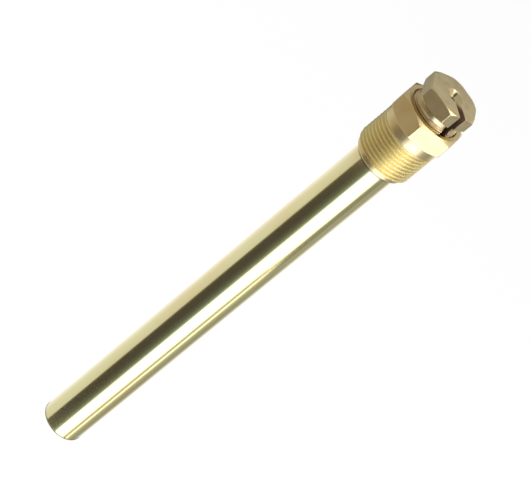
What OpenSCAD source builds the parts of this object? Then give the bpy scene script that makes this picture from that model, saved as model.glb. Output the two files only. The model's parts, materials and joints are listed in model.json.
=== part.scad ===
// Thermowell: a closed brass tube pocket brazed into a hexagon body with a
// G 3/4 pipe thread. A slotted gland screw in the mouth of the body presses a
// split rubber packing between two washers, and so grips the capillary tube of
// the sensor that sits in the pocket.
// The axis is Z. Z = 0 is the underside of the hexagon, where the body meets the
// pipe boss, and +Z points out of the pocket's mouth.

/* [Pocket tube] */
// Outer diameter of the tube
tube_d = 20; // [14:0.5:21]
// Wall thickness of the tube
tube_wall = 0.75; // [0.5:0.05:1.5]
// Length from the underside of the hexagon to the closed tip
immersion = 222; // [60:1:600]
// Height of the disc that closes the tip
tip_h = 1.2; // [1:0.1:3]
// Radius of the tip's outer edge
tip_edge = 0.9; // [0.3:0.1:0.9]
// Height of the disc's spigot inside the tube
spigot_h = 3; // [1:0.5:8]

/* [Body thread] */
// Major diameter of the pipe thread
thread_d = 26.44; // [26:0.02:26.8]
// Height of the threaded length, with its lead chamfer
thread_h = 16.65; // [14:0.05:24]
// Pitch of the pipe thread
thread_pitch = 1.814; // [1.6:0.002:2.2]
// Depth of the pipe thread's grooves
groove_depth = 1.16; // [0.8:0.02:1.3]
// Plain run-out between the collar and the first groove
runout_h = 1.3; // [0.5:0.1:2]
// Height of the plain collar between the thread and the hexagon
collar_h = 3.6; // [1:0.1:8]
// Diameter of the plain pilot below the thread
pilot_d = 23.4; // [22.8:0.1:24]
// Height of the pilot
pilot_h = 1.85; // [1:0.05:5]
// Chamfer on the pilot's end
pilot_chamfer = 0.8; // [0.2:0.1:0.9]

/* [Hexagon] */
// Width of the body's hexagon across its flats
hex_af = 27; // [27:0.5:32]
// Height of the body's hexagon
hex_h = 9; // [7:0.5:14]
// Slope of the chamfers on its corners, in degrees
hex_slope = 30; // [15:1:40]
// How far each corner chamfer starts inside the flats, on both hexagons
hex_inset = 0.15; // [0.05:0.05:0.5]

/* [Packing chamber] */
// Depth of the chamber's floor below the underside of the hexagon
floor_depth = 8; // [7.5:0.1:9]
// Thickness of the web between the chamber and the tube's seat
web_t = 2; // [1:0.1:4]
// Depth of the gland thread below the mouth
gland_thread_depth = 12; // [11.5:0.1:13]
// How much the mouth is bored out beyond the gland thread
mouth_relief = 0.5; // [0.2:0.1:0.8]
// Depth of the bored-out mouth
relief_depth = 1.5; // [0.5:0.1:3]

/* [Packing and washers] */
// Diameter of the capillary tube that the gland grips
capillary_d = 2.8; // [1.5:0.1:4]
// Height of the relaxed rubber packing
packing_h = 6; // [4:0.1:6.8]
// Chamfer on the packing's edges
packing_chamfer = 0.5; // [0.1:0.1:1]
// Width of the packing's slit
slit_w = 0.3; // [0.1:0.1:0.8]
// Thickness of each brass washer
washer_t = 1; // [0.5:0.1:1.4]

/* [Gland screw] */
// Major diameter of the gland's thread
gland_d = 22; // [21.6:0.1:22.4]
// Height of the gland thread's teeth, by which the packing chamber is narrower
gland_tooth = 0.55; // [0.45:0.05:0.65]
// Length from the screw's end to the underside of its head
shank_h = 13; // [12:0.1:18]
// Height of the turned neck under the head
neck_h = 2; // [1:0.1:3]
// Depth of the turned neck
neck_depth = 0.8; // [0.2:0.1:1.5]
// Chamfer on the screw's end
end_chamfer = 0.6; // [0.2:0.1:1]
// Width of the head's hexagon across its flats
head_af = 22; // [22:0.5:26]
// Height of the head
head_h = 7.2; // [5:0.1:10]
// Slope of the chamfer under the head, in degrees
under_slope = 36; // [15:1:40]
// Slope of the chamfer on the head's upper corners, in degrees
top_slope = 34; // [15:1:40]
// Radius of the head's crowned top
crown_r = 160; // [100:10:400]
// Diameter of the countersink round the capillary hole
sink_d = 7.6; // [5:0.1:9]
// Angle of the slot round the axis, from +X
slot_angle = -42; // [-180:1:180]

/* [Clearances] */
// Radial gap that the brazing fills
braze_gap = 0.05; // [0.02:0.01:0.1]
// Radial play of the gland thread
gland_play = 0.08; // [0.03:0.01:0.1]
// Radial play of the washers and the packing in the chamber
chamber_play = 0.2; // [0.1:0.05:0.4]
// How much wider than the capillary the hole through the screw, the washers and
// the relaxed packing is
hole_play = 0.4; // [0.4:0.1:1]
// How much wider than the capillary the slots are
slot_play = 0.2; // [0.1:0.05:0.3]

/* [Hidden] */
$fn = 96;

// Overshoot of a cut past the surface that it opens
cut = 1;

// Half the angle between two corners of a hexagon
half_side = 30;

// Half the angle between the flanks of a groove
flank_angle = 27.5;

thread_r = thread_d / 2;
pilot_r = pilot_d / 2;
bore_r = tube_d / 2 - tube_wall;
gland_bore_r = gland_d / 2 + gland_play;
chamber_r = gland_d / 2 - gland_tooth;
loose_r = chamber_r - chamber_play;

body_low = -collar_h - thread_h - pilot_h;
thread_low = -collar_h - thread_h;
groove_floor = thread_pitch / 2 - groove_depth * tan(flank_angle);
groove_top = -collar_h - runout_h - (thread_pitch - groove_floor) / 2;
groove_count = floor((thread_h - runout_h) / thread_pitch);

floor_z = -floor_depth;
seat_z = floor_z - web_t;
tip_z = -immersion;

packing_z = floor_z + washer_t;
follower_z = packing_z + packing_h;
screw_z = follower_z + washer_t;
head_z = screw_z + shank_h;
head_top = head_z + head_h;
hole_d = capillary_d + hole_play;
slot_w = capillary_d + slot_play;

polished_brass = [0.86, 0.80, 0.55];
turned_brass = [0.80, 0.68, 0.40];
dull_brass = [0.68, 0.60, 0.42];
rubber = [0.12, 0.12, 0.12];

// A hexagon bar with two corners on the Y axis
module hex_bar(af, h) {
    rotate([0, 0, half_side])
        cylinder(h = h, d = af / cos(half_side), $fn = 6);
}

// A hexagon whose corners are turned off by a cone at both ends
module chamfered_hex(af, h, low_slope, high_slope) {
    corner_r = af / cos(half_side) / 2 + cut;
    face_r = af / 2 - hex_inset;
    low_rise = (corner_r - face_r) * tan(low_slope);
    high_drop = (corner_r - face_r) * tan(high_slope);
    intersection() {
        hex_bar(af, h);
        rotate_extrude()
            polygon([
                [0, 0],
                [face_r, 0],
                [corner_r, low_rise],
                [corner_r, h - high_drop],
                [face_r, h],
                [0, h]
            ]);
    }
}

// A round bar with a 45 degree chamfer on its lower and its upper edge
module chamfered_bar(r, h, low, high) {
    rotate_extrude()
        polygon([
            [0, 0],
            [r - low, 0],
            [r, low],
            [r, h - high],
            [r - high, h],
            [0, h]
        ]);
}

// The hole for the capillary and the slot that lets it in from the side
module capillary_cut(w, d, h, reach) {
    translate([0, 0, -cut])
        cylinder(h = h + 2 * cut, d = d);
    translate([0, -w / 2, -cut])
        cube([reach + cut, w, h + 2 * cut]);
}

// Drawn tube, open at both ends, from the tip's disc to its seat in the body
module tube() {
    tube_low = tip_z + tip_h;
    tube_h = seat_z - tube_low;
    color(polished_brass)
        translate([0, 0, tube_low])
            difference() {
                cylinder(h = tube_h, d = tube_d);
                translate([0, 0, -cut])
                    cylinder(h = tube_h + 2 * cut, r = bore_r);
            }
}

// Disc brazed into the tube's end, with a rounded outer edge
module end_plug() {
    color(polished_brass)
        translate([0, 0, tip_z])
            rotate_extrude() {
                square([tube_d / 2 - tip_edge, tip_h]);
                translate([0, tip_edge])
                    square([tube_d / 2, tip_h - tip_edge]);
                translate([tube_d / 2 - tip_edge, tip_edge])
                    intersection() {
                        circle(r = tip_edge);
                        translate([0, -tip_edge])
                            square([tip_edge, tip_edge]);
                    }
                square([bore_r - braze_gap, tip_h + spigot_h]);
            }
}

// Section of one groove of the pipe thread, its floor on the Y axis
module groove() {
    reach = groove_depth + cut;
    mouth = groove_floor / 2 + reach * tan(flank_angle);
    polygon([
        [0, -groove_floor / 2],
        [reach, -mouth],
        [reach, mouth],
        [0, groove_floor / 2]
    ]);
}

// Outside of the body below its hexagon: collar, thread with a lead chamfer,
// and pilot. The thread's grooves are rings at its pitch, with no helix.
module threaded_stem() {
    lead = thread_r - pilot_r;
    rotate_extrude()
        difference() {
            polygon([
                [0, body_low],
                [pilot_r - pilot_chamfer, body_low],
                [pilot_r, body_low + pilot_chamfer],
                [pilot_r, thread_low],
                [thread_r, thread_low + lead],
                [thread_r, hex_h / 2],
                [0, hex_h / 2]
            ]);
            for (k = [0 : groove_count - 1])
                translate([thread_r - groove_depth, groove_top - k * thread_pitch])
                    groove();
        }
}

// Inside of the body: socket for the tube, hole through the web, packing
// chamber, gland thread at its major diameter and bored-out mouth
module body_bores() {
    thread_floor = hex_h - gland_thread_depth;
    translate([0, 0, body_low - cut])
        cylinder(h = seat_z - body_low + cut, r = tube_d / 2 + braze_gap);
    translate([0, 0, seat_z - cut])
        cylinder(h = web_t + 2 * cut, r = bore_r);
    translate([0, 0, floor_z])
        cylinder(h = hex_h - floor_z + cut, r = chamber_r);
    translate([0, 0, thread_floor])
        cylinder(h = gland_thread_depth + cut, r = gland_bore_r);
    translate([0, 0, hex_h - relief_depth])
        cylinder(h = relief_depth + cut, r = gland_bore_r + mouth_relief);
}

module well_body() {
    color(turned_brass)
        difference() {
            union() {
                threaded_stem();
                chamfered_hex(hex_af, hex_h, hex_slope, hex_slope);
            }
            body_bores();
        }
}

// Brass washer, slotted so that it slips over the capillary
module slotted_washer() {
    difference() {
        cylinder(h = washer_t, r = loose_r);
        capillary_cut(slot_w, hole_d, washer_t, loose_r);
    }
}

// Washer on the chamber's floor, its slot turned away from the screw's
module lower_washer() {
    color(dull_brass)
        translate([0, 0, floor_z])
            rotate([0, 0, slot_angle + 180])
                slotted_washer();
}

// Rubber plug, slit from its hole to its edge
module packing() {
    color(rubber)
        translate([0, 0, packing_z])
            rotate([0, 0, slot_angle + 90])
                difference() {
                    chamfered_bar(loose_r, packing_h, packing_chamfer, packing_chamfer);
                    capillary_cut(slit_w, hole_d, packing_h, loose_r);
                }
}

// Washer that the screw's end pushes down on the packing
module upper_washer() {
    color(dull_brass)
        translate([0, 0, follower_z])
            rotate([0, 0, slot_angle + 180])
                slotted_washer();
}

// Gland screw: threaded shank, turned neck and hexagon head with a crowned
// top, slotted along its whole length from one flat to the capillary hole
module gland_screw() {
    gland_r = gland_d / 2;
    thread_top = shank_h - neck_h;
    sink_depth = (sink_d - hole_d) / 2;
    full_h = shank_h + head_h;
    color(dull_brass)
        translate([0, 0, screw_z])
            rotate([0, 0, slot_angle])
                difference() {
                    union() {
                        chamfered_bar(gland_r, thread_top, end_chamfer, neck_depth);
                        cylinder(h = shank_h + head_h / 2, r = gland_r - neck_depth);
                        intersection() {
                            translate([0, 0, shank_h])
                                chamfered_hex(head_af, head_h, under_slope, top_slope);
                            translate([0, 0, full_h - crown_r])
                                sphere(r = crown_r);
                        }
                    }
                    capillary_cut(slot_w, hole_d, full_h, head_af);
                    translate([0, 0, full_h - sink_depth])
                        cylinder(h = sink_depth + cut, d1 = hole_d, d2 = sink_d + 2 * cut);
                }
}

tube();
end_plug();
well_body();
lower_washer();
packing();
upper_washer();
gland_screw();
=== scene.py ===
"""Thermowell: a polished pocket tube, a turned hexagon body and a slotted gland screw.

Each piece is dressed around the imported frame."""
import json
import math

import bpy
import numpy as np
from mathutils import Matrix, Vector


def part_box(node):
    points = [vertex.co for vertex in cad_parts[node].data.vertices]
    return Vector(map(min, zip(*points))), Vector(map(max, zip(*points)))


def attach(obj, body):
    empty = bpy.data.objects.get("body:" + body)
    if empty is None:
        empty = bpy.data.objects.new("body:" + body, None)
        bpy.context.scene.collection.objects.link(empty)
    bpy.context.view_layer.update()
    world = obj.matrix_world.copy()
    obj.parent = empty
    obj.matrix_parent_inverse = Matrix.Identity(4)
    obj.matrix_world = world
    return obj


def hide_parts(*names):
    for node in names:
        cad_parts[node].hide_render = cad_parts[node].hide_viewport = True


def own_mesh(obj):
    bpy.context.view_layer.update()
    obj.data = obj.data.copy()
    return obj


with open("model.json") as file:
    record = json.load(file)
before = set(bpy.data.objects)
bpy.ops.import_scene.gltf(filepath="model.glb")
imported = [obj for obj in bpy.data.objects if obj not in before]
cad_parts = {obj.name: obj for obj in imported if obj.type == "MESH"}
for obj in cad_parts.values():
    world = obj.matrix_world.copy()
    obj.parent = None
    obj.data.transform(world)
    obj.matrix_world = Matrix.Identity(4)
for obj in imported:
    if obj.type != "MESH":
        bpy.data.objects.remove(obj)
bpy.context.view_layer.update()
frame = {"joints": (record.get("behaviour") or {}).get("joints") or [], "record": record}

MM = 0.001
MICRON = 1e-6
TURN = 2 * math.pi
HEX_SIDE = TURN / 6
SHARP_ANGLE = math.radians(38)
MOST_EASE = 0.45            # the share of the way to the next corner that an eased corner may take
MOST_SINE = 0.999           # keeps an arcsine clear of its end
TINY = 1e-9


# ---------------------------------------------------------------- sizes
# They come from the frame where it holds them.

def height_of(node):
    """Lowest and highest Z of a CAD node."""
    low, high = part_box(node)
    return low[2], high[2]


def mount_radius(name):
    """Radius of one of the record's round mounts."""
    mount = next(m for m in frame["record"]["mounts"] if m["name"] == name)
    return mount["dims"]["r_mm"] * MM


TUBE_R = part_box("tube")[1][0]
TUBE_LOW, TUBE_HIGH = height_of("tube")
TIP_Z = height_of("end_plug")[0]
SPIGOT_TOP = height_of("end_plug")[1]
BODY_LOW, HEX_TOP = height_of("well_body")
HEX_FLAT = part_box("well_body")[1][0]
THREAD_R = mount_radius("process_thread")
GRIP_R = mount_radius("capillary_hole")
CHAMBER_FLOOR = height_of("lower_washer")[0]
PACKING_LOW, PACKING_TOP = height_of("packing")
SCREW_LOW = height_of("gland_screw")[0]
PLAY_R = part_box("packing")[1][1]

HAIR = 0.05 * MM            # a step or an eased edge that hardly shows
TUBE_WALL = 0.75 * MM
TIP_EDGE = 0.9 * MM
SEAM_EASE = 0.12 * MM       # eased edges on both sides of the tip's seam
SEAM_GAP = 0.02 * MM
BRAZE_GAP = 0.05 * MM
BRAZE_LEG = 0.45 * MM
BRAZE_BITE = 0.1 * MM       # how far the braze reaches into the tube's wall
PILOT_R = 11.7 * MM
PILOT_H = 2.15 * MM
PILOT_CHAMFER = 0.35 * MM
THREAD_START_SLOPE = 0.55   # rise of the pipe thread's start for its reach outwards
PIPE_RUN_OUT = 1.2 * MM
COLLAR_H = 3.6 * MM
FACE_INSET = 0.15 * MM
HEX_CORNER_EASE = 0.25 * MM
HEX_SLOPE = math.tan(math.radians(30))
WEB_T = 2 * MM
CHAMBER_R = 10.45 * MM
MOUTH_R = 11.58 * MM
MOUTH_DEPTH = 1.5 * MM
GLAND_THREAD_LOW = -3 * MM
GLAND_RUN_OUT = 0.01 * MM

SCREW_HEAD = 13 * MM
HEAD_H = 7.2 * MM
HEAD_FLAT = 11 * MM
NECK_H = 2 * MM
NECK_R = 10.2 * MM
END_CHAMFER = 0.6 * MM
SCREW_RUN_OUT = 0.05 * MM
HEAD_CORNER_EASE = 0.3 * MM
CROWN_EDGE_R = 11.46 * MM
CROWN_RING_R = 10.4 * MM
UNDER_SLOPE = math.tan(math.radians(36))
TOP_SLOPE = math.tan(math.radians(34))
CROWN_R = 160 * MM
SINK_R = 3.8 * MM
HOLE_R = GRIP_R
SLOT_HALF = GRIP_R - 0.1 * MM
SLIT_HALF = 0.15 * MM
SLOT_ANGLE = math.radians(-42)
SLOT_EDGE_EASE = 0.08 * MM

TUBE_COLUMNS = 192
BRAZE_COLUMNS = 144
WASHER_COLUMNS = 120
FLAT_COLUMNS = 21           # columns on one flat of a hexagon, between its eased corners
PIPE_THREAD_ROWS = 160
BODY_GLAND_ROWS = 120
SCREW_THREAD_ROWS = 140

# Each thread's crest radius, root radius and pitch, and the angle where its crest passes z = 0
PIPE_THREAD = {"Crest radius": THREAD_R, "Root radius": 12.06 * MM, "Pitch": 1.8143 * MM,
               "Start angle": math.radians(136.7)}
SCREW_THREAD = {"Crest radius": 10.93 * MM, "Root radius": 10.32 * MM, "Pitch": 1 * MM,
                "Start angle": math.radians(71)}
BODY_GLAND_THREAD = {"Crest radius": 10.5 * MM, "Root radius": 11.1 * MM, "Pitch": 1 * MM,
                     "Start angle": math.radians(71)}


# ---------------------------------------------------------------- node trees

class Wire:
    """One output socket. Arithmetic on it adds Math nodes to its tree."""

    def __init__(self, tree, socket):
        self.tree = tree
        self.socket = socket

    def __add__(self, other):
        return self.tree.math("ADD", self, other)

    def __sub__(self, other):
        return self.tree.math("SUBTRACT", self, other)

    def __mul__(self, other):
        return self.tree.math("MULTIPLY", self, other)

    def __truediv__(self, other):
        return self.tree.math("DIVIDE", self, other)

    def __rsub__(self, other):
        return self.tree.math("SUBTRACT", other, self)

    __radd__ = __add__
    __rmul__ = __mul__


def set_stops(ramp, stops):
    """Gives a colour ramp its stops, each a place and a grey or a colour."""
    while len(ramp.elements) < len(stops):
        ramp.elements.new(1.0)
    for element, (place, value) in zip(ramp.elements, stops):
        element.position = place
        grey = isinstance(value, (int, float))
        element.color = (value, value, value, 1) if grey else (*value, 1)


class Tree:
    """Adds nodes to a shader or geometry node tree."""

    def __init__(self, node_tree):
        self.nodes = node_tree.nodes
        self.links = node_tree.links

    def node(self, kind, settings=(), sockets=(), output=0):
        """Adds one node and gives one output: settings first, then its sockets' values or links."""
        made = self.nodes.new(kind)
        for name, value in dict(settings).items():
            if name == "stops":
                set_stops(made.color_ramp, value)
            else:
                setattr(made, name, value)
        for name, value in dict(sockets).items():
            if isinstance(value, Wire):
                self.links.new(value.socket, made.inputs[name])
            else:
                made.inputs[name].default_value = value
        if made.outputs:
            return Wire(self, made.outputs[output])
        return None

    def math(self, operation, *values):
        """A Math node on wires and numbers."""
        return self.node("ShaderNodeMath", {"operation": operation}, dict(enumerate(values)))

    def smooth(self, value, start, end):
        """0 before start, 1 after end, and eased between them."""
        return self.node("ShaderNodeMapRange", {"interpolation_type": "SMOOTHSTEP"},
                         {"Value": value, "From Min": start, "From Max": end})

    def mix(self, share, first, second):
        """A blend of two colours."""
        return self.node("ShaderNodeMix", {"data_type": "RGBA"},
                         {0: share, 6: first, 7: second}, output=2)

    def split(self, vector):
        """The three parts of a vector."""
        made = self.nodes.new("ShaderNodeSeparateXYZ")
        self.links.new(vector.socket, made.inputs[0])
        return [Wire(self, output) for output in made.outputs]


# ---------------------------------------------------------------- shaping

def corner(reach, height, ease=0.0, steps=1):
    """One corner of a section: radius and height, its easing, and the steps to the next corner."""
    return {"at": (reach, height), "ease": ease, "steps": steps}


def section_rows(corners, count, closed=True):
    """Rows of radius and height, a value for each column, through a section's eased corners."""
    points = [
        np.stack([np.broadcast_to(v, (count,)) for v in c["at"]], -1).astype(float)
        for c in corners
    ]
    eased = []
    for i, (c, point) in enumerate(zip(corners, points)):
        if not c["ease"] or (not closed and i in (0, len(points) - 1)):
            eased.append([point])
            continue
        ends = []
        for other in (points[i - 1], points[(i + 1) % len(points)]):
            way = other - point
            length = np.maximum(np.linalg.norm(way, axis=1, keepdims=True), TINY)
            ends.append(point + way / length * np.minimum(c["ease"], MOST_EASE * length))
        eased.append([ends[0], (ends[0] + 2 * point + ends[1]) / 4, ends[1]])
    rows = []
    for i, c in enumerate(corners):
        rows.extend(eased[i])
        for step in range(1, c["steps"]):
            share = step / c["steps"]
            rows.append(eased[i][-1] * (1 - share) + eased[(i + 1) % len(eased)][0] * share)
    return np.array(rows)


def mesh_piece(name, points, faces):
    """An object of the given points and faces, shaded smooth except at sharp edges."""
    mesh = bpy.data.meshes.new(name)
    mesh.from_pydata(points.tolist(), [], faces)
    mesh.validate()
    mesh.shade_smooth()
    mesh.set_sharp_from_angle(angle=SHARP_ANGLE)
    piece = bpy.data.objects.new(name, mesh)
    bpy.context.scene.collection.objects.link(piece)
    return piece


def grid_faces(rows, columns, rows_close, columns_close):
    """Faces of a grid of points, whose rows and columns may each close into a ring."""
    return [
        (r * columns + c, r * columns + (c + 1) % columns,
         (r + 1) % rows * columns + (c + 1) % columns, (r + 1) % rows * columns + c)
        for r in range(rows if rows_close else rows - 1)
        for c in range(columns if columns_close else columns - 1)
    ]


def turned_piece(name, corners, angles, closed=True):
    """A piece turned from a section. An open section starts and ends on the axis."""
    rows = section_rows(corners, len(angles), closed)
    reach, height = rows[..., 0], rows[..., 1]
    points = np.stack([reach * np.cos(angles), reach * np.sin(angles), height], -1)
    count = len(angles)
    if closed:
        return mesh_piece(name, points.reshape(-1, 3), grid_faces(len(rows), count, True, True))
    inner = points[1:-1].reshape(-1, 3)
    ends = np.array([points[0][0], points[-1][0]])
    first, last = len(inner), len(inner) + 1
    top = (len(rows) - 3) * count
    faces = grid_faces(len(rows) - 2, count, False, True)
    faces += [(first, (c + 1) % count, c) for c in range(count)]
    faces += [(last, top + c, top + (c + 1) % count) for c in range(count)]
    return mesh_piece(name, np.concatenate([inner, ends]), faces)


def hexagon_reach(angles, flat, ease):
    """Distance from the axis to an eased hexagon bar whose first flat faces angle 0.

    Also gives how far an eased corner reaches round the axis, to each side."""
    half_side = HEX_SIDE / 2
    turn = np.abs((angles + half_side) % HEX_SIDE - half_side)
    off_corner = half_side - turn
    centre = (flat - ease) / math.cos(half_side)
    on_flat = flat / np.cos(turn)
    inside = np.maximum(ease ** 2 - (centre * np.sin(off_corner)) ** 2, 0)
    on_corner = centre * np.cos(off_corner) + np.sqrt(inside)
    tangent = math.atan2(ease / 2, centre + ease * math.cos(half_side))
    return np.where(off_corner < tangent, on_corner, on_flat), tangent


def hexagon_angles(flat, ease, per_side):
    """Angles of the columns round a hexagon bar: even on the flats, five at each eased corner."""
    tangent = hexagon_reach(np.zeros(1), flat, ease)[1]
    near = tangent * np.array([-1, -0.5, 0, 0.5, 1])
    between = np.linspace(3 * tangent, HEX_SIDE - 3 * tangent, per_side)
    one_side = np.concatenate([near, between])
    return np.concatenate([HEX_SIDE / 2 + HEX_SIDE * k + one_side for k in range(6)])


def slotted_piece(name, corners_of, slot_angle, half_width, ease, outer_angles, outer_reach):
    """A round piece that a straight slot opens from its hole to its edge, eased along the slot.

    corners_of gives the section's corners from the outer reach of each column."""
    easing = np.array([0, 0.3, 1])
    walls = half_width + ease * easing
    wall_r = outer_reach(np.zeros(1))[0]
    clear = np.arcsin(walls[-1] / wall_r) * 1.3
    inner = outer_angles[(outer_angles > clear) & (outer_angles < TURN - clear)]
    inner_reach = outer_reach(inner)
    inner_start = np.arcsin(walls[-1] / inner_reach)
    share = np.concatenate([[0, 0, 0], (inner - inner_start) / (TURN - 2 * inner_start), [1, 1, 1]])
    half = np.concatenate([walls, np.full(len(inner), walls[-1]), walls[::-1]])
    wall_reach = np.hypot(wall_r, walls)
    reach_of_column = np.concatenate([wall_reach, inner_reach, wall_reach[::-1]])
    rows = section_rows(corners_of(reach_of_column), len(share))
    ahead = np.roll(rows, -1, axis=0) - rows
    behind = rows - np.roll(rows, 1, axis=0)
    normal = sum(
        np.stack([-way[..., 1], way[..., 0]], -1)
        / np.maximum(np.linalg.norm(way, axis=-1, keepdims=True), TINY)
        for way in (ahead, behind))
    normal /= np.maximum(np.linalg.norm(normal, axis=-1, keepdims=True), 0.5)
    inset = np.zeros(len(share))
    inset[:3] = ease * easing[::-1]
    inset[-3:] = ease * easing
    rows = rows + normal * inset[None, :, None]
    reach, height = rows[..., 0], rows[..., 1]
    opening = np.arcsin(np.minimum(half / reach, MOST_SINE))
    angles = slot_angle + opening + share * (TURN - 2 * opening)
    points = np.stack([reach * np.cos(angles), reach * np.sin(angles), height], -1).reshape(-1, 3)
    count = len(share)
    faces = grid_faces(len(rows), count, True, False)
    faces.append(tuple(r * count for r in range(len(rows))))
    faces.append(tuple(r * count + count - 1 for r in reversed(range(len(rows)))))
    return mesh_piece(name, points, faces), count


def even_angles(count):
    """Angles of evenly spaced columns."""
    return np.arange(count) * TURN / count


def thread_tree():
    """Geometry nodes that cut a helical thread into the plain wall of a turned piece."""
    group = bpy.data.node_groups.new("cut thread", "GeometryNodeTree")
    sizes = ["Crest radius", "Root radius", "Pitch", "Low end", "High end", "Run-out",
             "Start angle"]
    group.interface.new_socket(name="Geometry", in_out="INPUT", socket_type="NodeSocketGeometry")
    for name in sizes:
        group.interface.new_socket(name=name, in_out="INPUT", socket_type="NodeSocketFloat")
    group.interface.new_socket(name="Finish", in_out="INPUT", socket_type="NodeSocketMaterial")
    group.interface.new_socket(name="Geometry", in_out="OUTPUT", socket_type="NodeSocketGeometry")
    tree = Tree(group)
    given = group.nodes.new("NodeGroupInput")
    value = {name: Wire(tree, given.outputs[name]) for name in ["Geometry", "Finish", *sizes]}
    crest, root, pitch = value["Crest radius"], value["Root radius"], value["Pitch"]

    x, y, z = tree.split(tree.node("GeometryNodeInputPosition"))
    reach = tree.math("SQRT", x * x + y * y)
    turns = z / pitch - (tree.math("ARCTAN2", y, x) - value["Start angle"]) / TURN
    flank = tree.smooth(tree.math("PINGPONG", turns, 0.5), 0, 0.5)
    cut_here = 1 - tree.smooth(z, value["High end"] - value["Run-out"], value["High end"])
    cut_here = cut_here * tree.smooth(z, value["Low end"], value["Low end"] + value["Run-out"])
    wall = crest + (root - crest) * flank * cut_here
    side = tree.math("SIGN", crest - root)
    scale = side * tree.math("MINIMUM", side * reach, side * wall) / reach
    moved = tree.node("ShaderNodeCombineXYZ", sockets={0: x * scale, 1: y * scale, 2: z})
    above = tree.math("GREATER_THAN", z, value["Low end"])
    below = tree.math("LESS_THAN", z, value["High end"])
    cut = tree.node("GeometryNodeSetPosition", sockets={
        "Geometry": value["Geometry"], "Selection": above * below, "Position": moved})
    real = tree.node("GeometryNodeRealizeInstances", sockets={"Geometry": cut})
    dressed = tree.node("GeometryNodeSetMaterial",
                        sockets={"Geometry": real, "Material": value["Finish"]})
    tree.node("NodeGroupOutput", sockets={"Geometry": dressed})
    return group


def bake_modifiers(piece):
    """Turns the piece's evaluated shape into its plain mesh."""
    shaped = piece.evaluated_get(bpy.context.evaluated_depsgraph_get())
    mesh = bpy.data.meshes.new_from_object(shaped)
    mesh.name = piece.name
    piece.modifiers.clear()
    piece.data = mesh


def cut_thread(piece, tree, thread, low, high, run_out, finish):
    """Cuts one thread into a piece between two heights."""
    sizes = {**thread, "Low end": low, "High end": high, "Run-out": run_out, "Finish": finish}
    modifier = piece.modifiers.new("thread", "NODES")
    modifier.node_group = tree
    for item in tree.interface.items_tree:
        if item.in_out == "INPUT" and item.name in sizes:
            modifier[item.identifier] = sizes[item.name]
    bake_modifiers(piece)


def even_shading(piece):
    """Keeps flat faces flat beside their eased edges."""
    modifier = piece.modifiers.new("shading", "WEIGHTED_NORMAL")
    modifier.keep_sharp = True
    bake_modifiers(piece)


# ---------------------------------------------------------------- finishes

def new_finish(name, metallic=1.0):
    """A new material, its tree, its surface shader and the object's coordinates."""
    material = bpy.data.materials.new(name)
    material.use_nodes = True
    tree = Tree(material.node_tree)
    tree.nodes.clear()
    shader = tree.nodes.new("ShaderNodeBsdfPrincipled")
    shader.inputs["Metallic"].default_value = metallic
    output = tree.nodes.new("ShaderNodeOutputMaterial")
    tree.links.new(shader.outputs[0], output.inputs["Surface"])
    place = tree.node("ShaderNodeTexCoord", output=3)
    return material, tree, shader, place


def feed(tree, shader, **sockets):
    """Links wires to the surface shader's sockets."""
    names = {"color": "Base Color", "roughness": "Roughness", "metallic": "Metallic",
             "normal": "Normal"}
    for name, wire in sockets.items():
        tree.links.new(wire.socket, shader.inputs[names[name]])


def noise(tree, place, scale, detail=2.0, stretch=(1, 1, 1)):
    """Noise of the given scale, stretched along the axes."""
    spot = tree.node("ShaderNodeMapping", sockets={"Vector": place, "Scale": stretch})
    return tree.node("ShaderNodeTexNoise",
                     sockets={"Vector": spot, "Scale": scale, "Detail": detail})


def along(tree, place):
    """Distance from the axis and height."""
    x, y, z = tree.split(place)
    return tree.math("SQRT", x * x + y * y), z


def tool_marks(tree, place, scale, detail=3.0):
    """The rings that a turning tool leaves, which change with height and distance from the axis."""
    reach, z = along(tree, place)
    return tree.node("ShaderNodeTexNoise", {"noise_dimensions": "1D"},
                     {"W": (z - reach) * scale, "Scale": 1.0, "Detail": detail})


def bump(tree, height, depth):
    """The normal of a surface with a relief of the given depth in metres."""
    return tree.node("ShaderNodeBump",
                     sockets={"Height": height, "Strength": 1.0, "Distance": depth})


def polished_brass():
    """Drawn tube, polished along its length, with faint smears from handling.
    From just below the body's pilot upwards it is painted darker as the pilot's shade, and is
    rougher."""
    gold, amber = (0.90, 0.83, 0.43, 1), (0.88, 0.73, 0.36, 1)
    # The second colour of this line is painted shade, for the tube just under the pilot.
    pale_green, pilot_shade_colour = (0.78, 0.86, 0.60, 1), (0.28, 0.22, 0.16, 1)
    material, tree, shader, place = new_finish("polished brass")
    smears = noise(tree, place, 70, 3, (1, 1, 0.35))
    draw_lines = noise(tree, place, 1800, 2, (1, 1, 0.012))
    mottle = noise(tree, place, 520, 3, (1, 1, 0.6))
    z = along(tree, place)[1]
    # Painted shade: from just below the pilot upwards the tube is made darker.
    pilot_shade = tree.smooth(z, BODY_LOW - 1.6 * MM, BODY_LOW - 1.25 * MM)
    color = tree.mix(tree.smooth(smears, 0.35, 0.75), gold, amber)
    color = tree.mix(tree.smooth(mottle, 0.4, 0.65) * 0.16, color, pale_green)
    color = tree.mix(pilot_shade * 0.8, color, pilot_shade_colour)
    roughness = 0.07 + smears * 0.07 + draw_lines * 0.03 + mottle * 0.03 + pilot_shade * 0.15
    feed(tree, shader, color=color, roughness=roughness,
         normal=bump(tree, draw_lines, 0.6 * MICRON))
    return material


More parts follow.
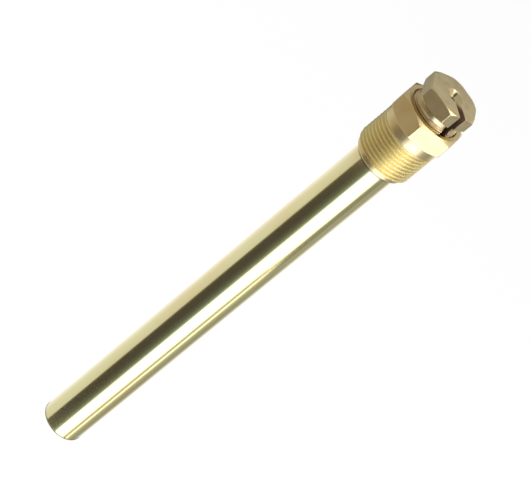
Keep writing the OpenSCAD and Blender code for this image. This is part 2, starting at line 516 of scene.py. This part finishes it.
def turned_brass():
    """Body turned and threaded from hexagon bar.

    It has tool rings on the turned faces, stock lines on the flats and a golden tone on the
    threads, with painted shade in the thread roots and inside the mouth."""
    yellow, warm = (0.88, 0.71, 0.37, 1), (0.82, 0.63, 0.30, 1)
    # The second colour of this line is painted shade, for the thread roots and the mouth.
    golden, shade_colour = (0.92, 0.79, 0.38, 1), (0.55, 0.34, 0.12, 1)
    thread_low = BODY_LOW + PILOT_H
    root_r = PIPE_THREAD["Root radius"]
    mouth_low = HEX_TOP - MOUTH_DEPTH
    material, tree, shader, place = new_finish("turned brass")
    reach, z = along(tree, place)
    rings = tool_marks(tree, place, 5200)
    stock_lines = noise(tree, place, 1500, 3, (1, 1, 0.05))
    patches = noise(tree, place, 160, 4)

    on_flats = tree.smooth(reach, HEX_FLAT - 0.1 * MM, HEX_FLAT) * tree.smooth(z, 0, 0.4 * MM)
    marks = rings * (1 - on_flats) + stock_lines * on_flats
    outside = tree.smooth(reach, PILOT_R + 0.1 * MM, PILOT_R + 0.3 * MM)
    threaded = outside * tree.smooth(z, thread_low, thread_low + 1 * MM)
    threaded = threaded * (1 - tree.smooth(z, -COLLAR_H - 1.2 * MM, -COLLAR_H - 0.4 * MM))
    # Painted shade in the roots of the pipe thread.
    root_shade = threaded * (1 - tree.smooth(reach, root_r + 0.04 * MM, root_r + 0.84 * MM))
    # Painted shade inside the mouth, round the gland screw.
    inside = 1 - tree.smooth(reach, MOUTH_R + 0.02 * MM, MOUTH_R + 0.1 * MM)
    mouth = inside * tree.smooth(z, mouth_low - 1 * MM, mouth_low)

    color = tree.mix(tree.smooth(patches, 0.3, 0.75), yellow, warm)
    color = tree.mix(threaded * 0.7, color, golden)
    color = tree.mix(tree.math("MAXIMUM", root_shade * 0.12, mouth * 0.75), color, shade_colour)
    roughness = 0.25 + marks * 0.08 + patches * 0.06 + threaded * 0.09 + mouth * 0.15
    feed(tree, shader, color=color, roughness=roughness, normal=bump(tree, marks, 3 * MICRON))
    return material


def dull_brass():
    """Gland screw and washers: satin brass gone browner.

    The slot's walls are matt and carry painted light and shade: a lit tan at the hole and along
    their upper edge, and painted shade further out and deeper. The hole is painted nearly black as
    shade, and painted shade darkens the thread roots by the body's mouth and the neck under the
    head."""
    yellow, warm = (0.80, 0.67, 0.37, 1), (0.72, 0.57, 0.31, 1)
    # The second colour of this line is painted shade, for the thread roots and the neck under the
    # head.
    stained, shade_colour = (0.55, 0.40, 0.26, 1), (0.45, 0.28, 0.12, 1)
    # Painted light and shade: the first colour is the slot walls' painted light, the second their
    # painted shade, and the third the hole's painted shade.
    tan, dark, hole_shade = (0.62, 0.48, 0.28, 1), (0.14, 0.08, 0.05, 1), (0.09, 0.055, 0.03, 1)
    head_low = SCREW_LOW + SCREW_HEAD
    sink_depth = SINK_R - HOLE_R
    root_r = SCREW_THREAD["Root radius"]
    material, tree, shader, place = new_finish("dull brass")
    patches = noise(tree, place, 220, 4)
    stains = noise(tree, place, 420, 3)
    rings = tool_marks(tree, place, 4200)
    turned = tree.node("ShaderNodeVectorRotate", {"rotation_type": "Z_AXIS"},
                       {"Vector": place, "Angle": -SLOT_ANGLE})
    x, y, z = tree.split(turned)
    reach = tree.math("SQRT", x * x + y * y)
    beside = tree.math("ABSOLUTE", y)
    depth = head_low + HEAD_H - z

    in_slot = 1 - tree.smooth(beside, SLOT_HALF, SLOT_HALF + 0.06 * MM)
    in_slot = in_slot * tree.smooth(x, 0, 1 * MM)
    # Painted light and shade on the slot's walls: lit near the hole and the top, shaded deeper and
    # further out.
    slot_lit_share = 1 - tree.smooth(depth + x * 0.45, 2.1 * MM, 3.5 * MM)
    in_hole = 1 - tree.smooth(reach, HOLE_R + 0.02 * MM, HOLE_R + 0.1 * MM)
    below_head = 1 - tree.smooth(z, head_low - 0.05 * MM, head_low + 0.05 * MM)
    in_sink = 1 - tree.smooth(reach, SINK_R - 0.1 * MM, SINK_R)
    in_sink = in_sink * (1 - tree.smooth(depth, sink_depth, sink_depth + 0.2 * MM))
    # Painted shade in the shank's thread roots, strongest inside the body's mouth and fading above
    # it.
    root = 1 - tree.smooth(reach, root_r + 0.08 * MM, root_r + 0.48 * MM)
    root = root * (1 - tree.smooth(z, HEX_TOP, HEX_TOP + 2.5 * MM)) * (1 - in_slot)
    bare = (1 - in_slot) * (1 - in_hole)

    metal = tree.mix(tree.smooth(patches, 0.3, 0.7), yellow, warm)
    metal = tree.mix(tree.smooth(stains, 0.55, 0.75) * 0.35, metal, stained)
    # Painted shade: darker in the thread roots and on the neck under the head.
    metal = tree.mix(tree.math("MAXIMUM", root * 0.5, below_head * 0.25), metal, shade_colour)
    wall = tree.mix(slot_lit_share, dark, tan)
    # The hole is painted nearly black as shade.
    color = tree.mix(in_hole, tree.mix(in_slot, metal, wall), hole_shade)
    smoother = tree.math("MAXIMUM", below_head * 0.12, in_sink * 0.17)
    roughness = 0.53 - bare * 0.25 + patches * 0.1 + rings * 0.05 - bare * smoother
    feed(tree, shader, color=color, roughness=roughness, metallic=0.2 + bare * 0.8,
         normal=bump(tree, rings * 0.6 + patches * 0.4, 3 * MICRON))
    return material


def braze_alloy():
    """Paler alloy of the brazed seam, slightly wavy."""
    material, tree, shader, place = new_finish("braze alloy")
    waves = noise(tree, place, 900, 3)
    pale, straw = (0.86, 0.76, 0.50, 1), (0.74, 0.62, 0.40, 1)
    feed(tree, shader, color=tree.mix(waves, pale, straw), roughness=0.3 + waves * 0.15,
         normal=bump(tree, waves, 20 * MICRON))
    return material


def packing_rubber():
    """Matt black rubber with a fine moulded grain."""
    material, tree, shader, place = new_finish("packing rubber", metallic=0.0)
    grain = noise(tree, place, 2500, 4)
    black, charcoal = (0.018, 0.018, 0.018, 1), (0.045, 0.043, 0.04, 1)
    feed(tree, shader, color=tree.mix(grain, black, charcoal), roughness=0.7 + grain * 0.15,
         normal=bump(tree, grain, 15 * MICRON))
    return material


# ---------------------------------------------------------------- pieces

def dress(piece, body, slot_name, finish, *nodes):
    """Gives a finished piece its material and body, and hides the CAD nodes it stands for.
    slot_name is not used.
    """
    piece.data.materials.clear()
    piece.data.materials.append(finish)
    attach(piece, body)
    if nodes:
        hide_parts(*nodes)


def make_tube(finish):
    """Pocket tube: a smooth drawn wall, its lower edge eased beside the end disc's seam."""
    bore = TUBE_R - TUBE_WALL
    corners = [
        corner(TUBE_R, TUBE_LOW, SEAM_EASE, 12),
        corner(TUBE_R, TUBE_HIGH, HAIR),
        corner(bore, TUBE_HIGH, HAIR, 12),
        corner(bore, TUBE_LOW, HAIR),
    ]
    piece = turned_piece("pocket_tube", corners, even_angles(TUBE_COLUMNS))
    even_shading(piece)
    dress(piece, "well", "polished_brass", finish, "tube")


def make_end_disc(finish):
    """Disc that closes the tip, with a rounded edge and its spigot inside the tube."""
    spigot_r = TUBE_R - TUBE_WALL - BRAZE_GAP
    turn = np.linspace(0, TURN / 4, 9)
    rim = [
        corner(TUBE_R - TIP_EDGE * (1 - math.sin(a)), TIP_Z + TIP_EDGE * (1 - math.cos(a)))
        for a in turn
    ]
    corners = [corner(0, TIP_Z), corner(TUBE_R * 0.5, TIP_Z), *rim]
    corners += [
        corner(TUBE_R, TUBE_LOW - SEAM_GAP, SEAM_EASE),
        corner(spigot_r, TUBE_LOW - SEAM_GAP),
        corner(spigot_r, SPIGOT_TOP, 0.3 * MM),
        corner(0, SPIGOT_TOP),
    ]
    piece = turned_piece("end_disc", corners, even_angles(TUBE_COLUMNS), closed=False)
    even_shading(piece)
    dress(piece, "well", "polished_brass", finish, "end_plug")


def make_body(thread, finish):
    """Hexagon body: pilot, pipe thread, collar, chamfered hexagon and the threaded chamber."""
    ease = 0.1 * MM
    angles = hexagon_angles(HEX_FLAT, HEX_CORNER_EASE, FLAT_COLUMNS)
    reach = hexagon_reach(angles, HEX_FLAT, HEX_CORNER_EASE)[0]
    face_r = HEX_FLAT - FACE_INSET
    chamfer = (reach - face_r) * HEX_SLOPE
    lead = THREAD_R - PILOT_R
    thread_low = BODY_LOW + PILOT_H
    seat = CHAMBER_FLOOR - WEB_T
    bore = TUBE_R - TUBE_WALL
    crest = BODY_GLAND_THREAD["Crest radius"]
    mouth_low = HEX_TOP - MOUTH_DEPTH
    corners = [
        corner(PILOT_R - PILOT_CHAMFER, BODY_LOW, ease),
        corner(PILOT_R, BODY_LOW + PILOT_CHAMFER, ease),
        corner(PILOT_R, thread_low, 0, 16),
        corner(THREAD_R, thread_low + THREAD_START_SLOPE * lead, 0, PIPE_THREAD_ROWS),
        corner(THREAD_R, -COLLAR_H, 0, 4),
        corner(THREAD_R, -HAIR, 0),
        corner(face_r, 0, 0),
        corner(reach, chamfer, ease, 4),
        corner(reach, HEX_TOP - chamfer, ease),
        corner(face_r, HEX_TOP, ease),
        corner(MOUTH_R, HEX_TOP, ease),
        corner(MOUTH_R, mouth_low, HAIR),
        corner(crest, mouth_low, 0, BODY_GLAND_ROWS),
        corner(crest, GLAND_THREAD_LOW, ease),
        corner(CHAMBER_R, GLAND_THREAD_LOW - HAIR, 0),
        corner(CHAMBER_R, CHAMBER_FLOOR, ease),
        corner(bore, CHAMBER_FLOOR, ease),
        corner(bore, seat, ease),
        corner(TUBE_R + BRAZE_GAP, seat, 0),
        corner(TUBE_R + BRAZE_GAP, BODY_LOW, 0.03 * MM),
    ]
    piece = turned_piece("hexagon_body", corners, angles)
    cut_thread(piece, thread, PIPE_THREAD, thread_low, -COLLAR_H, PIPE_RUN_OUT, finish)
    cut_thread(piece, thread, BODY_GLAND_THREAD, GLAND_THREAD_LOW, mouth_low - 2 * GLAND_RUN_OUT,
               GLAND_RUN_OUT, finish)
    even_shading(piece)
    dress(piece, "well", "turned_brass", finish, "well_body")


def make_braze(finish):
    """Concave seam of braze between the body's pilot and the tube."""
    top = BODY_LOW + HAIR
    inner_r = TUBE_R - BRAZE_BITE
    turn = np.linspace(0, TURN / 4, 6)
    hollow = [
        corner(TUBE_R + BRAZE_LEG * (1 - math.sin(a)), BODY_LOW - BRAZE_LEG * (1 - math.cos(a)))
        for a in turn
    ]
    corners = [corner(inner_r, top), corner(inner_r, BODY_LOW - BRAZE_LEG)]
    corners += hollow[::-1]
    corners.append(corner(TUBE_R + BRAZE_LEG, top))
    piece = turned_piece("braze_seam", corners, even_angles(BRAZE_COLUMNS))
    even_shading(piece)
    dress(piece, "well", "turned_brass", finish)


def snap_walls(piece, columns, slot_angle, half_width):
    """Brings the slot's two walls back to flat after the thread is cut."""
    points = np.empty(len(piece.data.vertices) * 3)
    piece.data.vertices.foreach_get("co", points)
    points = points.reshape(-1, 3)
    for column in (0, columns - 1):
        wall = points[column::columns]
        reach = np.hypot(wall[:, 0], wall[:, 1])
        side = 1 if column == 0 else -1
        angle = slot_angle + side * np.arcsin(np.minimum(half_width / reach, MOST_SINE))
        wall[:, 0] = reach * np.cos(angle)
        wall[:, 1] = reach * np.sin(angle)
    piece.data.vertices.foreach_set("co", points.ravel())
    piece.data.update()


def make_gland_screw(thread, finish):
    """Gland screw: threaded shank, turned neck and crowned hexagon head, slotted to its hole."""
    ease = SLOT_EDGE_EASE
    shank_r = SCREW_THREAD["Crest radius"]
    head_low = SCREW_LOW + SCREW_HEAD
    top = head_low + HEAD_H
    thread_top = head_low - NECK_H
    face_r = HEAD_FLAT - FACE_INSET

    def crown(reach):
        """Height of the crowned top."""
        return top - CROWN_R + np.sqrt(CROWN_R ** 2 - np.square(reach))

    def section(reach):
        """The section's corners, from the head's reach at each column."""
        turned_off = top - (reach - face_r) * TOP_SLOPE
        edge = np.minimum(crown(reach), turned_off)
        inner_reach = np.minimum(reach - 0.2 * MM, CROWN_EDGE_R)
        crown_rings = np.linspace(CROWN_RING_R, SINK_R, 6)[:-1]
        corners = [
            corner(shank_r - END_CHAMFER, SCREW_LOW, ease),
            corner(shank_r, SCREW_LOW + END_CHAMFER, 0, SCREW_THREAD_ROWS),
            corner(shank_r, thread_top - (shank_r - NECK_R), 0, 10),
            corner(NECK_R, thread_top, 0.1 * MM, 3),
            corner(NECK_R, head_low, 0.25 * MM),
            corner(face_r, head_low, 0.06 * MM),
            corner(reach, head_low + (reach - face_r) * UNDER_SLOPE, ease, 3),
            corner(reach, edge, ease),
            corner(inner_reach, crown(inner_reach), ease),
        ]
        corners += [corner(r, crown(r)) for r in crown_rings]
        corners += [
            corner(SINK_R, crown(SINK_R), ease),
            corner(HOLE_R, crown(SINK_R) - (SINK_R - HOLE_R), ease, 6),
            corner(HOLE_R, SCREW_LOW, ease),
        ]
        return corners

    angles = np.sort(hexagon_angles(HEAD_FLAT, HEAD_CORNER_EASE, FLAT_COLUMNS) % TURN)
    piece, columns = slotted_piece("slotted_screw", section, SLOT_ANGLE, SLOT_HALF, ease, angles,
                                   lambda a: hexagon_reach(a, HEAD_FLAT, HEAD_CORNER_EASE)[0])
    cut_thread(piece, thread, SCREW_THREAD, SCREW_LOW, thread_top, SCREW_RUN_OUT, finish)
    snap_walls(piece, columns, SLOT_ANGLE, SLOT_HALF)
    even_shading(piece)
    dress(piece, "gland", "dull_brass", finish, "gland_screw")


def make_slotted_disc(name, node, slot_angle, half_width, hole, ease, body, slot_name, finish):
    """Washer or packing: a disc with a hole, slotted or slit to its edge."""
    low, high = height_of(node)
    piece = slotted_piece(
        name,
        lambda reach: [
            corner(reach, low, ease),
            corner(reach, high, ease, 3),
            corner(hole, high, ease * 0.5),
            corner(hole, low, ease * 0.5, 3),
        ],
        slot_angle, half_width, SLOT_EDGE_EASE, even_angles(WASHER_COLUMNS),
        lambda a: np.full(len(a), PLAY_R))[0]
    even_shading(piece)
    dress(piece, body, slot_name, finish, node)
    return piece


def make_inner_parts(brass, rubber):
    """Washers above and below the rubber packing, which the screw presses."""
    behind = SLOT_ANGLE + TURN / 2
    aside = SLOT_ANGLE + TURN / 4
    make_slotted_disc("floor_washer", "lower_washer", behind, SLOT_HALF, HOLE_R, 0.1 * MM,
                      "well", "dull_brass", brass)
    make_slotted_disc("pressure_washer", "upper_washer", behind, SLOT_HALF, HOLE_R, 0.1 * MM,
                      "follower", "dull_brass", brass)
    packing = make_slotted_disc("rubber_packing", "packing", aside, SLIT_HALF, GRIP_R, 0.5 * MM,
                                "well", "packing_rubber", rubber)
    height = PACKING_TOP - PACKING_LOW
    travel = next(j for j in frame["joints"] if j["name"] == "gland_travel")
    squeeze = abs(travel["range_m"][0])
    1 - squeeze / height
    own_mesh(packing)


# ---------------------------------------------------------------- studio

FLOOR_Z = -0.48
FLOOR_HALF = 8.0
CEILING_Z = 0.42
TENT_R = 0.30
LOW_PANEL_TOP = -0.262
TUBE_PANEL_TOP = -0.172
BODY_PANEL_TOP = 0.05
PANEL_GAP = 0.01            # keeps a panel clear of the floor or of another panel
UNDER_PANEL_GAP = 1.5 * MM
UNDER_PANEL_R = 12 * MM
CARD_COLUMNS = 96
GAIN = 3.0                  # brightness of a reflection panel of colour 1


def stage_material(name, build):
    """A material for the studio, whose surface is what build returns."""
    material = bpy.data.materials.new(name)
    material.use_nodes = True
    tree = Tree(material.node_tree)
    tree.nodes.clear()
    tree.node("ShaderNodeOutputMaterial", sockets={"Surface": build(tree)})
    return material


def seen_directly(tree):
    """1 for rays from the camera and rays off gloss or through glass, 0 for the rest."""
    path = tree.nodes.new("ShaderNodeLightPath")
    straight, gloss, glass = (
        Wire(tree, path.outputs[name])
        for name in ("Is Camera Ray", "Is Glossy Ray", "Is Transmission Ray"))
    return tree.math("MAXIMUM", tree.math("MAXIMUM", straight, gloss), glass)


def make_world():
    """White surroundings that light the object softly."""
    world = bpy.data.worlds.new("studio")
    world.use_nodes = True
    bpy.context.scene.world = world
    tree = Tree(world.node_tree)
    tree.nodes.clear()
    strength = 0.6 + seen_directly(tree) * 0.4
    glow = tree.node("ShaderNodeBackground", sockets={"Color": (1, 1, 1, 1), "Strength": strength})
    tree.node("ShaderNodeOutputWorld", sockets={"Surface": glow})


def level_rectangle(left, right, front, back, height):
    """Four points of a level rectangle."""
    return np.array([(left, front, height), (right, front, height), (right, back, height),
                     (left, back, height)])


def level_ring(radius):
    """Points of a ring round the axis, without their height."""
    angles = even_angles(CARD_COLUMNS)
    return radius * np.stack([np.cos(angles), np.sin(angles)], -1)


def make_floor():
    """Plain pale floor under the part. It shows white and keeps a soft shadow."""
    def surface(tree):
        matt = tree.node("ShaderNodeBsdfDiffuse", sockets={"Color": (0.9, 0.9, 0.9, 1)})
        white = tree.node("ShaderNodeEmission", sockets={"Color": (1, 1, 1, 1), "Strength": 1.05})
        share = seen_directly(tree) * 0.8
        return tree.node("ShaderNodeMixShader", sockets={0: share, 1: matt, 2: white})

    points = level_rectangle(-FLOOR_HALF, FLOOR_HALF, -FLOOR_HALF, FLOOR_HALF, FLOOR_Z)
    floor = mesh_piece("floor", points, [(0, 1, 2, 3)])
    floor.data.materials.append(stage_material("pale floor", surface))


def make_card(name, points, faces, share_of, stops):
    """A panel that only gloss can see. Its colour runs through stops along a share of its place."""
    def surface(tree):
        share = share_of(tree, *tree.split(tree.node("ShaderNodeTexCoord", output=3)))
        color = tree.node("ShaderNodeValToRGB", {"stops": stops}, {0: share})
        return tree.node("ShaderNodeEmission", sockets={"Color": color, "Strength": GAIN})

    card = mesh_piece(name, points, faces)
    card.data.materials.append(stage_material(name, surface))
    card.data.materials[0].cycles.emission_sampling = "NONE"
    card.visible_camera = False
    card.visible_diffuse = False
    card.visible_shadow = False
    card.visible_transmission = False


def make_wall(name, low, high, stops):
    """Ring of reflection panels round the part.

    Stops are degrees from the camera's side towards +X, each with a grey or a colour."""
    ring = level_ring(TENT_R)
    points = np.concatenate([np.c_[ring, np.full(CARD_COLUMNS, z)] for z in (low, high)])
    shares = [((degrees + 180) / 360, color) for degrees, color in stops]
    make_card(name, points, grid_faces(2, CARD_COLUMNS, False, True),
              lambda tree, x, y, z: tree.math("ARCTAN2", x, 0 - y) / TURN + 0.5, shares)


def make_disc_card(name, height, radius, stops):
    """Level reflection panel above or below the part. Stops are metres along X."""
    points = np.c_[level_ring(radius), np.full(CARD_COLUMNS, height)]
    shares = [(metres / (2 * TENT_R) + 0.5, color) for metres, color in stops]
    make_card(name, points, [tuple(range(CARD_COLUMNS))],
              lambda tree, x, y, z: x / (2 * TENT_R) + 0.5, shares)


def make_flag():
    """Small dark panel under the ceiling panel, a dark line in the countersink's reflection."""
    points = level_rectangle(0.0, 0.26, -0.30, -0.06, CEILING_Z - PANEL_GAP)
    make_card("dark flag", points, [(0, 1, 2, 3)], lambda tree, x, y, z: x + 0.5,
              [(0, 0.02), (1, 0.02)])


def make_reflections():
    """Grey, dark and bright panels that the polished and turned metal reflects."""
    shade = (0.0266, 0.0240, 0.0245)
    umber = (0.045, 0.034, 0.023)
    moss = (0.037, 0.040, 0.040)
    olive = (0.062, 0.072, 0.060)
    slate = (0.11, 0.13, 0.16)
    sky = (0.60, 0.71, 1.0)
    left_side = [
        (-180, (0.40, 0.40, 0.46)), (-142, (0.345, 0.345, 0.41)), (-108, (0.27, 0.27, 0.295)),
        (-61, 0.24), (-57, umber), (-48, shade), (-24, shade), (-8, moss), (3, olive),
        (10, slate), (19, (0.8, 0.88, 0.98)), (25, 0.95)]
    far_side = [(139, 0.2), (160, 0.34), (180, 0.34)]
    make_wall("low tube panels", FLOOR_Z + PANEL_GAP, LOW_PANEL_TOP, left_side + [
        (55, 0.95), (60, 0.5), (66, 0.16), (73, 0.16), (77, 0.52), (83, 0.52), (88, 0.17),
        (99, 0.14), (112, 0.11), (126, 0.12)] + far_side)
    make_wall("high tube panels", LOW_PANEL_TOP, TUBE_PANEL_TOP, left_side + [
        (60, 0.95), (68, 0.6), (75, 0.12), (84, 0.09), (98, 0.1), (107, 0.15), (116, 0.12),
        (126, 0.13)] + far_side)
    make_wall("body panels", TUBE_PANEL_TOP, BODY_PANEL_TOP, [
        (-180, 0.04), (-150, 0.04), (-134, 0.15), (-110, (0.178, 0.198, 0.19)),
        (-74, (0.135, 0.12, 0.095)), (-50, (0.12, 0.10, 0.08)), (-24, (0.080, 0.070, 0.051)),
        (8, 0.080), (20, sky), (44, sky), (56, (0.55, 0.64, 0.93)), (66, (0.42, 0.47, 0.62)),
        (74, 0.2), (82, 0.12), (112, 0.1), (136, 0.2), (142, 0.4), (162, 0.3), (170, 0.1),
        (180, 0.04)])
    make_wall("top panels", BODY_PANEL_TOP, CEILING_Z, [
        (-180, 0.14), (-150, 0.15), (-100, 0.15), (-5, 0.15), (20, 0.42), (68, 0.42),
        (80, 0.34), (96, 0.24), (150, 0.2), (180, 0.14)])
    make_disc_card("ceiling panel", CEILING_Z, TENT_R,
                   [(-0.3, 0.15), (-0.02, 0.15), (0.06, 1.2), (0.3, 1.3)])
    make_flag()
    make_disc_card("under panel", TIP_Z - UNDER_PANEL_GAP, UNDER_PANEL_R,
                   [(-0.03, 0.03), (0.03, 0.03)])


def make_lamps():
    """Two soft lamps above the part, one to each side: name, place, width and power."""
    lamps = (("key", (-0.9, -0.9, 1.3), 1.2, 18), ("fill", (1.2, -0.4, 1.0), 1.4, 9))
    for name, place, size, power in lamps:
        light = bpy.data.lights.new(name, "AREA")
        light.shape = "DISK"
        light.size = size
        light.energy = power
        lamp = bpy.data.objects.new(name, light)
        lamp.location = place
        aim = Vector((0, 0, -0.1)) - lamp.location
        lamp.rotation_euler = aim.to_track_quat("-Z", "Y").to_euler()
        lamp.visible_glossy = False
        bpy.context.scene.collection.objects.link(lamp)


def make_camera():
    """Camera above the part, rolled so that the tube runs from corner to corner."""
    aim = Vector((-1.05 * MM, 0, -88.2 * MM))
    distance = 0.9603
    azimuth, elevation, roll = (math.radians(a) for a in (-1.727, 30.954, 50.387))
    away = Vector((math.sin(azimuth) * math.cos(elevation),
                   -math.cos(azimuth) * math.cos(elevation),
                   math.sin(elevation)))
    data = bpy.data.cameras.new("camera")
    data.sensor_width = 36
    data.lens = 161.35
    data.clip_start = 0.01
    data.clip_end = 50
    camera = bpy.data.objects.new("camera", data)
    turn = (-away).to_track_quat("-Z", "Y").to_matrix().to_4x4() @ Matrix.Rotation(roll, 4, "Z")
    camera.matrix_world = Matrix.Translation(aim + away * distance) @ turn
    bpy.context.scene.collection.objects.link(camera)
    bpy.context.scene.camera = camera


# ---------------------------------------------------------------- the scene

make_camera()
make_world()
make_floor()
make_reflections()
make_lamps()

thread = thread_tree()
polished = polished_brass()
turned = turned_brass()
dull = dull_brass()
make_tube(polished)
make_end_disc(polished)
make_body(thread, turned)
make_braze(braze_alloy())
make_gland_screw(thread, dull)
make_inner_parts(dull, packing_rubber())

bpy.context.scene.view_settings.view_transform = "Standard"
